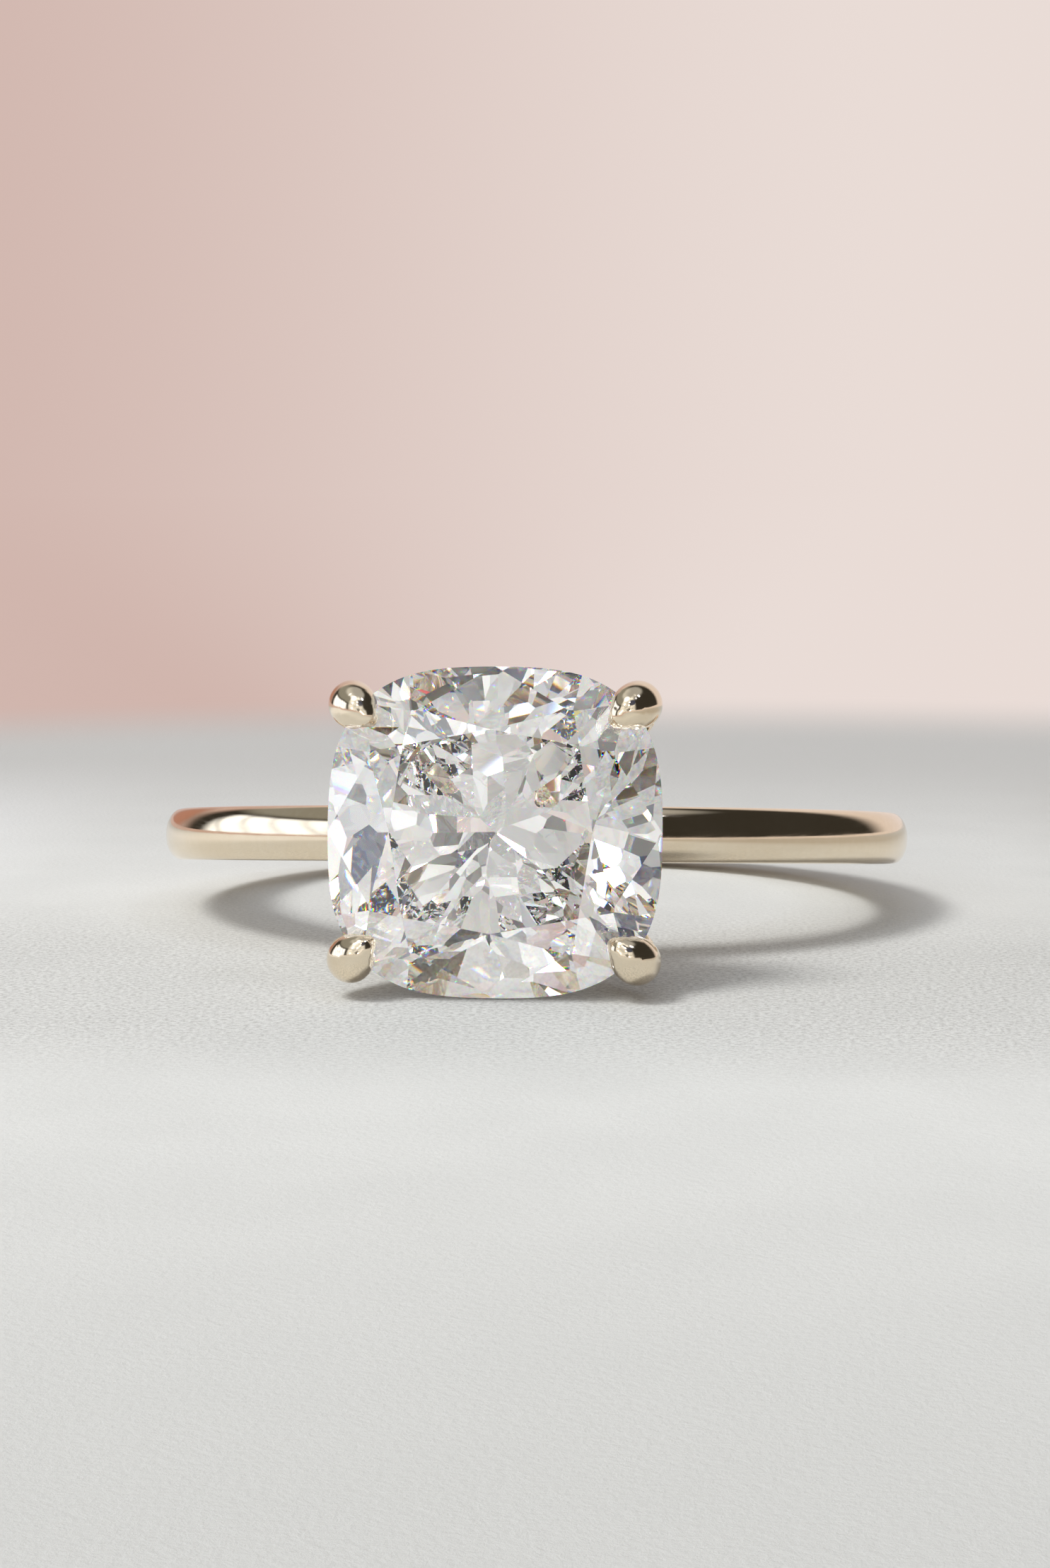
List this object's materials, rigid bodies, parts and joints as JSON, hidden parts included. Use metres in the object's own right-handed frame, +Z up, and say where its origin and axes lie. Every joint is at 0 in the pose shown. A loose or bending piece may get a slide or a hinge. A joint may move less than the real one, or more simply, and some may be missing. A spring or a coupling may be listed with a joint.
{
  "type": "ring",
  "caption": "Solitaire engagement ring with a cushion-cut clear stone held by claws on a plain yellow gold band, lying on its side.",
  "frame": {"origin": "on the surface the ring lies on, below the centre of its bounding box", "axes": "+Z up with the ring lying on its side, -Y the way the stone faces, +X to the right of someone facing the stone"},
  "size_m": [0.0198, 0.0246, 0.0073],
  "materials": {
    "gold": "polished",
    "diamond": "polished"
  },
  "bodies": {
    "root": {"shank": "gold", "centre_stone": "diamond", "claw_upper_left": "gold", "claw_upper_right": "gold", "claw_lower_left": "gold", "claw_lower_right": "gold", "gallery_rail": "gold", "base_rail": "gold"}
  },
  "joints": []
}
